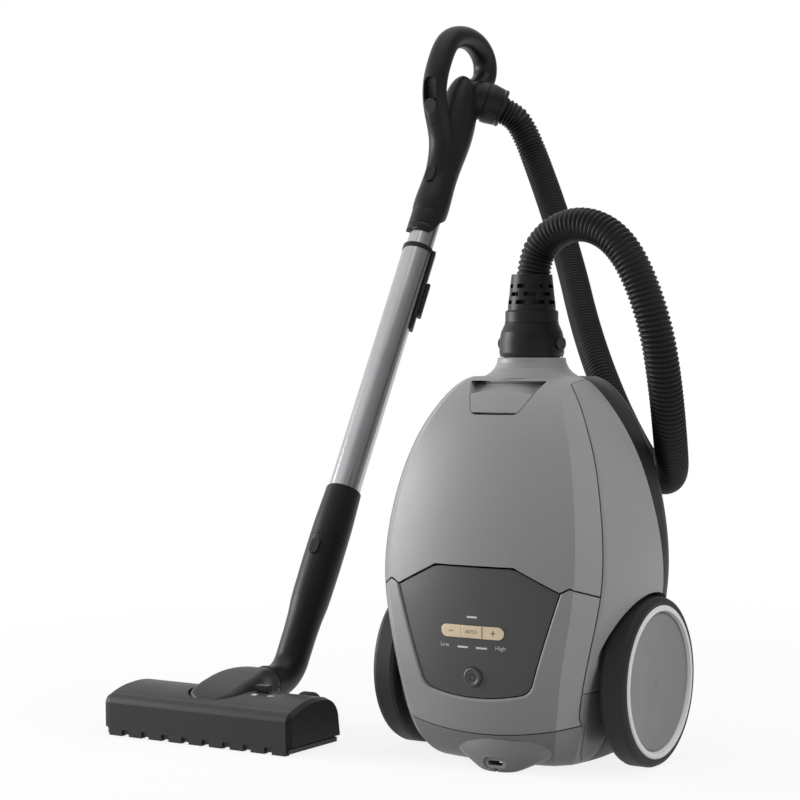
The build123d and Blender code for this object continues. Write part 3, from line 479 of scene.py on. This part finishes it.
@dataclass
class Studio:
    """Camera, floor and soft lights of the photograph's studio."""

    camera_at: Point = (1.064, -1.965, 0.430)
    azimuth: float = 32.0
    pitch: float = 1.364
    lens_mm: float = 94.5
    target: Point = (-0.1, 0.0, 0.35)
    soft_boxes: tuple[tuple[str, Point, float, float], ...] = (
        ("key", (-2.75, -0.95, 0.78), 1.7, 84.0), ("fill", (2.8, -0.1, 1.2), 1.6, 54.0),
        ("top", (0.1, 0.2, 2.8), 2.2, 18.0))
    floor_lit: float = 0.27
    floor_seen: float = 0.93
    glow_near: float = 0.86
    ambient: float = 0.3
    mirror_front: float = 0.42
    mirror_right: float = 0.24

    def build(self) -> None:
        """Set up the camera, the floor, the lamps and the world."""
        scene = bpy.context.scene
        scene.view_settings.view_transform = "Standard"
        deselect()
        bpy.ops.object.camera_add(location=self.camera_at, rotation=(
            math.radians(90 - self.pitch), 0, math.radians(self.azimuth)))
        camera = bpy.context.object
        camera.name = "camera"
        camera.data.lens = self.lens_mm
        camera.data.sensor_width = 36.0
        camera.data.clip_start = 0.05
        camera.data.clip_end = 60.0
        scene.camera = camera
        self.floor()
        self.lamps()
        self.world()

    def seen(self, tree: bpy.types.NodeTree) -> tuple[bpy.types.Node, Any]:
        """One for rays that show the floor: straight, mirrored or through a clear piece.

        Args:
            tree: The floor's node tree.

        Returns:
            The node and output that give it.
        """
        rays = add_node(tree, "ShaderNodeLightPath")
        either = add_node(tree, "ShaderNodeMath", {0: (rays, "Is Camera Ray"), 1: (rays, "Is Glossy Ray")},
                          operation="MAXIMUM")
        each = add_node(tree, "ShaderNodeMath", {0: (either, 0), 1: (rays, "Is Transmission Ray")},
                        operation="MAXIMUM")
        return each, 0

    def floor(self) -> None:
        """A large pale floor that shows white to the camera and keeps the shadow."""
        deselect()
        bpy.ops.mesh.primitive_plane_add(size=30)
        floor = bpy.context.object
        floor.name = "floor"
        material = bpy.data.materials.new("studio_floor")
        material.use_nodes = True
        tree = material.node_tree
        tree.nodes.clear()
        seen = self.seen(tree)
        shade = add_node(tree, "ShaderNodeMapRange", {0: seen, 3: self.floor_lit, 4: self.floor_seen})
        matte = add_node(tree, "ShaderNodeBsdfDiffuse", {"Color": (shade, 0)})
        glow = add_node(tree, "ShaderNodeEmission", {"Color": (1, 1, 1, 1), "Strength": 1.0})
        coords = add_node(tree, "ShaderNodeTexCoord")
        away = add_node(tree, "ShaderNodeVectorMath", {0: (coords, "Object")}, operation="LENGTH")
        white = add_node(tree, "ShaderNodeMapRange", {
            0: (away, "Value"), 1: 0.5, 2: 1.5, 3: self.glow_near, 4: 1.0})
        share = add_node(tree, "ShaderNodeMath", {0: seen, 1: (white, 0)}, operation="MULTIPLY")
        mix = add_node(tree, "ShaderNodeMixShader", {0: (share, 0), 1: (matte, 0), 2: (glow, 0)})
        add_node(tree, "ShaderNodeOutputMaterial", {"Surface": (mix, 0)})
        floor.data.materials.append(material)

    def lamps(self) -> None:
        """Soft boxes: a key on the left, a fill on the right that doesn't mirror, and a top light."""
        for name, place, size, power in self.soft_boxes:
            deselect()
            bpy.ops.object.light_add(type="AREA", location=place)
            lamp = bpy.context.object
            lamp.name = "lamp_" + name
            lamp.data.size = size
            lamp.data.energy = power
            lamp.visible_glossy = name != "fill"
            aim = Vector(self.target) - Vector(place)
            lamp.rotation_euler = aim.to_track_quat("-Z", "Y").to_euler()

    def world(self) -> None:
        """Even light from all round, white behind the object, and bright to mirrors on the left only."""
        world = bpy.data.worlds.new("studio_world")
        bpy.context.scene.world = world
        world.use_nodes = True
        tree = world.node_tree
        tree.nodes.clear()
        coords = add_node(tree, "ShaderNodeTexCoord")
        axes = add_node(tree, "ShaderNodeSeparateXYZ", {0: (coords, "Generated")})
        front = add_node(tree, "ShaderNodeMapRange", {
            0: (axes, "Y"), 1: -0.8, 2: 0.1, 3: self.mirror_front, 4: self.mirror_right})
        mirrored = add_node(tree, "ShaderNodeMapRange", {
            0: (axes, "X"), 1: -0.4, 2: 0.4, 3: 1.0, 4: (front, 0)}, interpolation_type="SMOOTHSTEP")
        rays = add_node(tree, "ShaderNodeLightPath")
        around = add_node(tree, "ShaderNodeMapRange", {
            0: (rays, "Is Glossy Ray"), 3: self.ambient, 4: (mirrored, 0)})
        straight = add_node(tree, "ShaderNodeMath", {
            0: (rays, "Is Camera Ray"), 1: (rays, "Is Transmission Ray")}, operation="MAXIMUM")
        level = add_node(tree, "ShaderNodeMapRange", {0: (straight, 0), 3: (around, 0), 4: 1.0})
        light = add_node(tree, "ShaderNodeBackground", {"Color": (1, 1, 1, 1), "Strength": (level, 0)})
        add_node(tree, "ShaderNodeOutputWorld", {"Surface": (light, 0)})


@dataclass
class Hose:
    """The ribbed suction hose from the handle's outlet to the canister's inlet."""

    radius: float = 18.0 * MM
    root: float = 15.9 * MM
    pitch: float = 5.2 * MM
    plain: float = 34.0 * MM
    length: float = 1.25
    rib_rings: int = 6
    sides: int = 40
    route: tuple[Point, ...] = (
        (-0.3169, 0.432, 0.7599), (-0.2774, 0.457, 0.7424), (-0.263, 0.468, 0.717),
        (-0.246, 0.470, 0.676), (-0.202, 0.438, 0.605), (-0.147, 0.377, 0.533), (-0.096, 0.312, 0.464),
        (-0.047, 0.258, 0.404), (-0.001, 0.222, 0.345), (0.054, 0.180, 0.291), (0.112, 0.116, 0.288),
        (0.138, 0.052, 0.338), (0.148, 0.016, 0.400), (0.146, -0.002, 0.456), (0.126, -0.009, 0.516),
        (0.099, -0.008, 0.550), (0.061, -0.004, 0.564), (0.023, 0.0, 0.553), (0.0, 0.002, 0.523),
        (0.0, 0.002, 0.472))

    def centreline(self) -> list[Vector]:
        """Points read from the route's smooth spline.

        Returns:
            Points along the hose, from the handle to the canister.
        """
        curve = bpy.data.curves.new("hose_line", "CURVE")
        curve.dimensions = "3D"
        curve.resolution_u = 24
        spline = curve.splines.new("NURBS")
        spline.points.add(len(self.route) - 1)
        for point, place in zip(spline.points, self.route):
            point.co = (*place, 1)
        spline.order_u = 3
        spline.use_endpoint_u = True
        holder = bpy.data.objects.new("hose_line", curve)
        bpy.context.scene.collection.objects.link(holder)
        bpy.context.view_layer.update()
        mesh = bpy.data.meshes.new_from_object(holder.evaluated_get(bpy.context.evaluated_depsgraph_get()))
        points = [v.co.copy() for v in mesh.vertices]
        bpy.data.meshes.remove(mesh)
        bpy.data.objects.remove(holder)
        bpy.data.curves.remove(curve)
        return points

    def build(self) -> None:
        points = self.centreline()
        hose = ringed_tube("hose_ribs", points, self.profile, self.pitch / self.rib_rings, self.sides)
        hose.data.materials.append(HOSE_BLACK.make())
        length = sum((b - a).length for a, b in zip(points, points[1:]))
        LOG.info("hose length %.4f", length)
        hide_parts("suction_hose")
        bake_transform(hose)

    def profile(self, run: float, total: float) -> float:
        """Radius at a run along the hose: plain ends, rounded ribs between.

        Args:
            run: Distance from the handle's end.
            total: The hose's whole length.

        Returns:
            The outer radius there.
        """
        if run < self.plain or run > total - self.plain:
            return self.radius
        wave = 0.5 + 0.5 * math.cos(2 * math.pi * (run - self.plain) / self.pitch)
        return self.root + (self.radius - self.root) * wave ** 0.7


def ringed_tube(name: str, line: list[Vector], profile: Any, step: float, sides: int) -> bpy.types.Object:
    """Loft rings of changing radius along a line.

    Args:
        name: The object's name.
        line: Points along the middle.
        profile: Function of run and whole length that gives the radius.
        step: Distance between rings.
        sides: Points on each ring.

    Returns:
        A closed tube.
    """
    runs = [0.0]
    for a, b in zip(line, line[1:]):
        runs.append(runs[-1] + (b - a).length)
    total = runs[-1]
    count = round(total / step)
    steady = Vector((1, 0, 0))
    verts: list[Vector] = []
    segment = 0
    for i in range(count + 1):
        run = total * i / count
        while segment < len(line) - 2 and runs[segment + 1] < run:
            segment += 1
        share = (run - runs[segment]) / max(runs[segment + 1] - runs[segment], 1e-9)
        before = line[max(segment - 1, 0)]
        after = line[min(segment + 2, len(line) - 1)]
        here, there = line[segment], line[segment + 1]
        along = ((there - before).normalized().lerp((after - here).normalized(), share)).normalized()
        centre = here.lerp(there, share)
        steady = (steady - along * steady.dot(along)).normalized()
        other = along.cross(steady)
        radius = profile(run, total)
        for k in range(sides):
            angle = 2 * math.pi * k / sides
            verts.append(centre + radius * (math.cos(angle) * steady + math.sin(angle) * other))
    faces: list[tuple[int, ...]] = []
    for i in range(count):
        for k in range(sides):
            a, b = i * sides + k, i * sides + (k + 1) % sides
            faces.append((a, b, b + sides, a + sides))
    faces.append(tuple(reversed(range(sides))))
    faces.append(tuple(range(count * sides, (count + 1) * sides)))
    mesh = bpy.data.meshes.new(name)
    mesh.from_pydata(verts, [], faces)
    obj = bpy.data.objects.new(name, mesh)
    bpy.context.scene.collection.objects.link(obj)
    focus(obj)
    bpy.ops.object.shade_smooth_by_angle(angle=math.radians(50))
    return obj


class Side(Enum):
    """Which way a printed mark faces: its turn from flat, the axis it is laid along, and whether forwards."""

    FRONT = ((90.0, 0.0, 0.0), "use_project_y", True)
    TOP = ((0.0, 0.0, 0.0), "use_project_z", False)


@dataclass
class Marks:
    """Printed words and signs on the keys, the panel and the nozzle, and the raised middle key."""

    film: float = 0.14 * MM
    key_z: float = 144.0 * MM
    scale_z: float = 129.0 * MM
    power_z: float = 98.0 * MM
    key_x: float = 24.5 * MM
    low_x: float = -33 * MM
    high_x: float = 32 * MM
    key_type: float = 5.0
    scale_type: float = 6.2
    start: float = 0.3
    switch_x: float = -277.5 * MM
    switch_y: float = -117.0 * MM

    def build(self) -> None:
        """Lay every mark on its surface."""
        self.middle_key()
        self.lay("minus_sign", [self.bar(5.2, 0.9)], (-self.key_x, self.key_z), "minus_button", "minus_key",
                 INK_BROWN)
        self.lay("plus_sign", [self.bar(5.2, 0.9), self.bar(0.9, 5.2)], (self.key_x, self.key_z),
                 "plus_button", "plus_key", INK_BROWN)
        self.lay("auto_word", [self.word("AUTO", self.key_type)], (0.0, self.key_z), "middle_key_cap",
                 "auto_key", INK_BROWN)
        for name, text, x in (("low_word", "Low", self.low_x), ("high_word", "High", self.high_x)):
            self.lay(name, [self.word(text, self.scale_type)], (x, self.scale_z), "control_panel", "canister",
                     INK_WHITE)
        self.lay("power_sign", [self.arc(3.7, 0.9, 26), self.bar(0.9, 3.4, (0.0, 2.9))],
                 (0.0, self.power_z), "power_button", "power_key", INK_DARK)
        self.carpet_sign()
        self.hard_floor_sign()

    def bar(self, wide: float, high: float, at: tuple[float, float] = (0.0, 0.0)) -> bpy.types.Object:
        """A flat bar with cut corners.

        Args:
            wide: Width in mm.
            high: Height in mm.
            at: Its middle in the mark, in mm.

        Returns:
            The flat mesh.
        """
        deselect()
        bpy.ops.mesh.primitive_plane_add(size=1)
        obj = bpy.context.object
        settle(obj, (at[0] * MM, at[1] * MM, 0.0), scale=(wide * MM, high * MM, 1.0))
        bpy.ops.object.mode_set(mode="EDIT")
        bpy.ops.mesh.select_all(action="SELECT")
        bpy.ops.mesh.bevel(offset=0.2 * min(wide, high) * MM, segments=2, affect="VERTICES")
        bpy.ops.object.mode_set(mode="OBJECT")
        return obj

    def arc(self, radius: float, wide: float, gap: float) -> bpy.types.Object:
        """A flat ring that is open at the top.

        Args:
            radius: Outer radius in mm.
            wide: Width of the line in mm.
            gap: Half of the opening, in degrees.

        Returns:
            The flat mesh.
        """
        deselect()
        bpy.ops.mesh.primitive_circle_add(vertices=60, radius=radius * MM, fill_type="NGON")
        obj = bpy.context.object
        bpy.ops.object.mode_set(mode="EDIT")
        bpy.ops.mesh.select_all(action="SELECT")
        bpy.ops.mesh.inset(thickness=wide * MM)
        bpy.ops.mesh.delete(type="FACE")
        bpy.ops.mesh.select_mode(type="FACE")
        bpy.ops.object.mode_set(mode="OBJECT")
        for face in obj.data.polygons:
            face.select = abs(math.degrees(math.atan2(face.center.x, face.center.y))) < gap
        bpy.ops.object.mode_set(mode="EDIT")
        bpy.ops.mesh.delete(type="FACE")
        bpy.ops.object.mode_set(mode="OBJECT")
        return obj

    def word(self, text: str, size: float) -> bpy.types.Object:
        """A flat word, middle at the origin.

        Args:
            text: The word.
            size: Type size in mm.

        Returns:
            The flat mesh.
        """
        deselect()
        bpy.ops.object.text_add()
        obj = bpy.context.object
        obj.data.body = text
        obj.data.size = size * MM
        obj.data.align_x = "CENTER"
        obj.data.align_y = "CENTER"
        obj.data.resolution_u = 4
        bpy.ops.object.convert(target="MESH")
        return bpy.context.object

    def lay(self, name: str, shapes: list[bpy.types.Object], at: tuple[float, float], node: str, body: str,
            ink: Finish, side: Side = Side.FRONT) -> None:
        """Join flat shapes, lay them on a surface and give them the thickness of ink.

        Args:
            name: The mark's name.
            shapes: Flat meshes round the origin.
            at: The mark's place across the surface: X and Z in front, X and Y on top.
            node: The CAD node or piece under it.
            body: The body it moves with.
            ink: Its finish.
            side: Which way it faces.
        """
        turn, axis, forward = side.value
        mark = joined(name, shapes)
        settle(mark, (at[0], -self.start, at[1]) if forward else (*at, self.start), turn)
        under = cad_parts.get(node) or bpy.data.objects[node]
        finish_with(mark, "SHRINKWRAP", target=under, wrap_method="PROJECT", offset=0.0,
                    use_negative_direction=not forward, use_positive_direction=forward, **{axis: True})
        finish_with(mark, "SOLIDIFY", thickness=self.film, offset=1.0)
        mark.data.materials.append(ink.make())
        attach(mark, body)

    def middle_key(self) -> None:
        """The middle key stands a little proud of its neighbours, with softened edges."""
        deselect()
        bpy.ops.mesh.primitive_grid_add(x_subdivisions=14, y_subdivisions=8, size=1)
        cap = bpy.context.object
        cap.name = "middle_key_cap"
        settle(cap, (0.0, -self.start, self.key_z), (90, 0, 0), (23.6 * MM, 12.2 * MM, 1.0))
        finish_with(cap, "SHRINKWRAP", target=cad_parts["auto_button"], wrap_method="PROJECT",
                    use_project_y=True)
        finish_with(cap, "SOLIDIFY", thickness=0.7 * MM, offset=1.0)
        finish_with(cap, "BEVEL", width=0.5 * MM, segments=3, limit_method="ANGLE",
                    angle_limit=math.radians(50))
        focus(cap)
        bpy.ops.object.shade_smooth_by_angle(angle=math.radians(40))
        cap.data.materials.append(CHAMPAGNE.make())
        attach(cap, "auto_key")

    def carpet_sign(self) -> None:
        """A rug with fringes, at the knob's rest."""
        rug = [self.bar(6.4, 4.2)]
        rug += [self.bar(0.5, 1.2, (x, z)) for x in (-2.6, -1.3, 0.0, 1.3, 2.6) for z in (-3.0, 3.0)]
        self.lay("carpet_sign", rug, (self.switch_x, self.switch_y), "nozzle_housing", "nozzle", INK_WHITE,
                 Side.TOP)

    def hard_floor_sign(self) -> None:
        """Tiles in rows, at the knob's other end."""
        step = 1.9
        tiles = [self.bar(1.4, 1.4, (step * i, step * j)) for i in (-1.5, -0.5, 0.5, 1.5) for j in (-1, 0, 1)]
        self.lay("hard_floor_sign", tiles, (self.switch_x + 21 * MM, self.switch_y + 1 * MM),
                 "nozzle_housing", "nozzle", INK_WHITE, Side.TOP)


@dataclass
class Brush:
    """The strip of bristles that drops behind the nozzle's front edge."""

    middle: Point = (-327.5 * MM, -143.5 * MM, 0.0)
    half: float = 111.0 * MM
    low: float = 2.6 * MM
    root: float = 8.5 * MM
    top: float = 14.0 * MM
    deep: float = 6 * MM
    margin: float = 3 * MM
    row_gap: float = 2.6 * MM
    tufts: int = 56

    def build(self) -> None:
        """Model one tuft, repeat it in two rows and set them in a strip."""
        strip = self.strip()
        tuft = self.tuft()
        step = 2 * (self.half - self.margin) / (self.tufts - 1)
        finish_with(tuft, "ARRAY", count=self.tufts, use_relative_offset=False, use_constant_offset=True,
                    constant_offset_displace=(step, 0, 0))
        finish_with(tuft, "ARRAY", count=2, use_relative_offset=False, use_constant_offset=True,
                    constant_offset_displace=(step / 2 - 1 * MM, self.row_gap, 0))
        brush = joined("bristle_rows", [strip, tuft])
        brush.data.materials.append(BRISTLE.make())
        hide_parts("brush_strip")
        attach(brush, "brush")

    def strip(self) -> bpy.types.Object:
        """The strip that holds the tufts, with softened edges."""
        deselect()
        bpy.ops.mesh.primitive_cube_add(size=1)
        strip = bpy.context.object
        x, y, _ = self.middle
        settle(strip, (x, y, (self.root + self.top) / 2),
               scale=(2 * self.half, self.deep, self.top - self.root))
        finish_with(strip, "BEVEL", width=0.7 * MM, segments=2)
        return strip

    def tuft(self) -> bpy.types.Object:
        """One tuft at the strip's left end, gathered at the root and spread at the tips."""
        deselect()
        x, y, _ = self.middle
        high = self.root - self.low + 1 * MM
        bpy.ops.mesh.primitive_cylinder_add(vertices=7, radius=0.75 * MM, depth=high, location=(
            x - self.half + self.margin, y - self.row_gap / 2, self.low + high / 2))
        tuft = bpy.context.object
        bpy.ops.object.transform_apply(location=True, rotation=False, scale=False)
        bpy.ops.object.mode_set(mode="EDIT")
        bpy.ops.mesh.select_all(action="DESELECT")
        bpy.ops.object.mode_set(mode="OBJECT")
        for face in tuft.data.polygons:
            face.select = face.normal.z < -0.9
        bpy.ops.object.mode_set(mode="EDIT")
        bpy.ops.mesh.select_mode(type="FACE")
        bpy.ops.transform.resize(value=(1.5, 1.35, 1.0))
        bpy.ops.mesh.inset(thickness=0.35 * MM)
        bpy.ops.transform.translate(value=(0, 0, 0.5 * MM))
        bpy.ops.object.mode_set(mode="OBJECT")
        return tuft


@dataclass
class SleeveEnd:
    """The front of the handle's sleeve, which reaches further down the tube, and its end ring."""

    foot: Point = (-327.5 * MM, 0.0, 27.2 * MM)
    lean: float = 30.0
    outer: float = 22.2 * MM
    wall: float = 4.9 * MM
    blank: float = 120 * MM
    low: float = 633.0 * MM
    ring_top: float = 640.4 * MM
    front_low: float = 641.0 * MM
    cut_at: float = 656.0 * MM
    cut_slope: float = 2.4
    joint_at: float = 650.0 * MM
    joint_slope: float = -1.035

    def build(self) -> None:
        """Model the end ring and the piece between it and the sleeve."""
        self.piece("sleeve_end_ring", self.low, (self.ring_top, 0.0))
        self.piece("sleeve_front", self.front_low, (self.joint_at, self.joint_slope))

    def piece(self, name: str, low: float, top: tuple[float, float]) -> None:
        """Cut a tube by three planes, give it its wall and lean it onto the wand.

        Args:
            name: The piece's name.
            low: Height of its square lower end.
            top: Height of its upper end on the axis, and the rise of that end towards the back.
        """
        deselect()
        bpy.ops.mesh.primitive_cylinder_add(vertices=72, radius=self.outer, depth=self.blank,
                                            end_fill_type="NOTHING", location=(0, 0, self.joint_at))
        ring = bpy.context.object
        ring.name = name
        bpy.ops.object.transform_apply(location=True, rotation=False, scale=False)
        self.cut(low, 0.0, False)
        self.cut(self.cut_at, self.cut_slope, False)
        self.cut(*top, True)
        finish_with(ring, "SOLIDIFY", thickness=self.wall, offset=-1.0)
        finish_with(ring, "BEVEL", width=0.4 * MM, segments=2, limit_method="ANGLE",
                    angle_limit=math.radians(50))
        settle(ring, self.foot, (-self.lean, 0, 0))
        bpy.ops.object.shade_smooth_by_angle(angle=math.radians(35))
        ring.data.materials.append(SATIN_BLACK.make())
        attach(ring, "grip")

    def cut(self, at: float, slope: float, above: bool) -> None:
        """Cut the active tube by a plane that rises towards the back.

        Args:
            at: Height of the plane on the tube's axis.
            slope: Rise for each unit of depth.
            above: True to clear what is above the plane, False to clear what is below.
        """
        bpy.ops.object.mode_set(mode="EDIT")
        bpy.ops.mesh.select_all(action="SELECT")
        bpy.ops.mesh.bisect(plane_co=(0, 0, at), plane_no=Vector((0, -slope, 1)).normalized(),
                            clear_outer=above, clear_inner=not above)
        bpy.ops.object.mode_set(mode="OBJECT")


@dataclass
class LatchScoop:
    """The shallow finger scoop between the lid's latch and the inlet collar."""

    half: float = 42.0 * MM
    brow: float = 387.0 * MM
    brow_drop: float = 8.0 * MM
    brow_half: float = 50.0 * MM
    inlet_y: float = 2.0 * MM
    collar: float = 53.0 * MM
    collar_z: float = 395.6 * MM
    dip: float = 1.6 * MM
    inward: Point = (0, 0.75, -0.66)
    inset: float = 1.8 * MM

    def build(self) -> None:
        """Bend a grid from behind the latch's brow up to the collar, hollowed in between."""
        deselect()
        bpy.ops.mesh.primitive_grid_add(x_subdivisions=40, y_subdivisions=12, size=1)
        scoop = bpy.context.object
        scoop.name = "latch_scoop"
        inward = Vector(self.inward)
        for vertex in scoop.data.vertices:
            x = 2 * self.half * vertex.co.x
            share = vertex.co.y + 0.5
            upper = Vector((x, self.inlet_y - math.sqrt(self.collar ** 2 - x ** 2), self.collar_z))
            hollow = self.dip * math.sin(math.pi * share)
            vertex.co = self.behind_brow(x).lerp(upper, share) + hollow * inward
        finish_with(scoop, "SOLIDIFY", thickness=0.8 * MM, offset=-1.0)
        focus(scoop)
        bpy.ops.object.mode_set(mode="EDIT")
        bpy.ops.mesh.select_all(action="SELECT")
        bpy.ops.mesh.normals_make_consistent(inside=False)
        bpy.ops.object.mode_set(mode="OBJECT")
        bpy.ops.object.shade_smooth_by_angle(angle=math.radians(40))
        scoop.data.materials.append(BODY_GREY.make())
        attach(scoop, "lid")

    def behind_brow(self, x: float) -> Vector:
        """A point just behind the latch's upper edge.

        Args:
            x: Its place across the lid.

        Returns:
            The point inside the wall there.
        """
        start = Vector((x, -0.3, self.brow - self.brow_drop * (x / self.brow_half) ** 2))
        for node in ("lid_latch", "dust_lid"):
            hit, place, _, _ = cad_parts[node].ray_cast(start, Vector((0, 1, 0)))
            if hit:
                return place + Vector((0, self.inset, 0))
        return start


@dataclass
class DustBag:
    """The non-woven dust bag, half full, hanging from its holder."""

    middle_y: float = -16.0 * MM
    rows: tuple[Point, ...] = ((243, 62, 42), (262, 84, 58), (300, 82, 60), (335, 66, 50), (349.5, 40, 32))
    slack: float = 4.5 * MM
    swell: float = 4.0 * MM
    voxel: float = 4.5 * MM
    pressure: float = 4.0
    steps: int = 20
    folds: int = 11
    folds_from: float = 280
    folds_rise: float = 60

    def build(self) -> None:
        bag = self.loft()
        self.inflate(bag)
        self.crease(bag)
        finish_with(bag, "SUBSURF", levels=1, render_levels=1)
        focus(bag)
        bpy.ops.object.shade_smooth_by_angle(angle=math.radians(60))
        bag.data.materials.append(BAG_CLOTH.make())
        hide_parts("dust_bag")
        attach(bag, "canister")

    def halves(self, z: float) -> tuple[float, float]:
        """Half width and half depth of the bag's room at a height.

        Args:
            z: The height.

        Returns:
            Half width and half depth there.
        """
        for (z0, a0, b0), (z1, a1, b1) in zip(self.rows, self.rows[1:]):
            if z <= z1 * MM:
                share = max((z / MM - z0) / (z1 - z0), 0.0)
                return (a0 + (a1 - a0) * share) * MM, (b0 + (b1 - b0) * share) * MM
        return self.rows[-1][1] * MM, self.rows[-1][2] * MM

    def loft(self) -> bpy.types.Object:
        """A rounded sack that is a little smaller than its room."""
        deselect()
        bpy.ops.mesh.primitive_uv_sphere_add(segments=72, ring_count=40, radius=1)
        bag = bpy.context.object
        bag.name = "dust_bag_sack"
        low, high = self.rows[0][0] * MM + self.slack, self.rows[-1][0] * MM - self.slack
        for vertex in bag.data.vertices:
            x, y, z = vertex.co
            round_off = max(1 - z * z, 0.0) ** 0.25
            angle = math.atan2(y, x)
            height = (low + high) / 2 + (high - low) / 2 * math.copysign(abs(z) ** 0.9, z)
            half_x, half_y = self.halves(height)
            across = math.copysign(abs(math.cos(angle)) ** 0.75, math.cos(angle))
            deep = math.copysign(abs(math.sin(angle)) ** 0.75, math.sin(angle))
            vertex.co = ((half_x - self.slack) * round_off * across,
                         self.middle_y + (half_y - self.slack) * round_off * deep, height)
        finish_with(bag, "REMESH", mode="VOXEL", voxel_size=self.voxel)
        return bag

    def inflate(self, bag: bpy.types.Object) -> None:
        """Run the cloth under a light pressure, no further than the bag's room.

        Args:
            bag: The sack.
        """
        start = [v.co.copy() for v in bag.data.vertices]
        scene = bpy.context.scene
        focus(bag)
        bpy.ops.object.modifier_add(type="CLOTH")
        cloth = bag.modifiers[-1]
        cloth.settings.use_pressure = True
        cloth.settings.uniform_pressure_force = self.pressure
        cloth.settings.effector_weights.gravity = 0.0
        for step in range(1, self.steps + 1):
            scene.frame_set(step)
        bpy.ops.object.modifier_apply(modifier=cloth.name)
        scene.frame_set(1)
        for vertex, place in zip(bag.data.vertices, start):
            move = vertex.co - place
            if move.length > self.swell:
                vertex.co = place + self.swell * move.normalized()

    def crease(self, bag: bpy.types.Object) -> None:
        """Press in soft folds that run down from the holder.

        Args:
            bag: The blown-up sack.
        """
        for vertex in bag.data.vertices:
            x, y, z = vertex.co
            angle = math.atan2(y - self.middle_y, x)
            upper = min(max((z / MM - self.folds_from) / self.folds_rise, 0.0), 1.0)
            fold = 0.5 + 0.5 * math.sin(self.folds * angle + 2.5 * math.sin(3 * angle) + 40 * z)
            lump = noise.noise(Vector((x, y, z)) * 28)
            inward = Vector((-math.cos(angle), -math.sin(angle), 0))
            vertex.co += inward * ((0.6 + 2.6 * upper) * fold + 1.2 * max(lump, 0.0)) * MM


@dataclass
class JointShadowLines:
    """Painted shadow lines: black rings where turned pieces meet, at the cuff's top ring and the nozzle's
    neck.
    """

    cuff: Point = (0.0, 2.0 * MM, 459.2 * MM)
    neck: Point = (-327.5 * MM, -26.3 * MM, 50.0 * MM)

    def build(self) -> None:
        """Model each painted shadow line as a flattened black ring."""
        self.line("cuff_line", self.cuff, (0, 0, 0), 28.25 * MM, 0.55 * MM, "hose")
        self.line("neck_line", self.neck, (90, 0, 0), 20.0 * MM, 0.9 * MM, "swivel")

    def line(self, name: str, at: Point, turn: Point, radius: float, half: float, body: str) -> None:
        """One painted shadow line.

        Args:
            name: Its name.
            at: Its middle.
            turn: Turns about X, Y and Z, in degrees.
            radius: Radius of the joint.
            half: Half of the line's width.
            body: The body it moves with.
        """
        deselect()
        bpy.ops.mesh.primitive_torus_add(major_radius=radius, minor_radius=half, major_segments=96,
                                         minor_segments=10)
        ring = bpy.context.object
        ring.name = name
        bpy.ops.object.mode_set(mode="EDIT")
        bpy.ops.mesh.select_all(action="SELECT")
        bpy.ops.transform.resize(value=(1.0, 1.0, 1.3))
        bpy.ops.object.mode_set(mode="OBJECT")
        settle(ring, at, turn)
        bpy.ops.object.shade_smooth_by_angle(angle=math.radians(60))
        # Painted shade: the black ring stands in for the shadow in the joint's groove.
        ring.data.materials.append(CAP_BLACK.make())
        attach(ring, body)


def dress_nodes() -> None:
    """Give every CAD node its finish."""
    for finish, nodes in FINISHES.items():
        for node in nodes:
            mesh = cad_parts[node].data
            mesh.materials.clear()
            mesh.materials.append(finish.make())


def main() -> None:
    """Build everything in order."""
    logging.basicConfig(level=logging.INFO, format="%(name)s %(message)s")
    dress_nodes()
    for piece in (Studio(), Hose(), Marks(), Brush(), SleeveEnd(), LatchScoop(), DustBag(), JointShadowLines()):
        piece.build()
        LOG.info("built %s", type(piece).__name__)


if __name__ == "__main__":
    main()
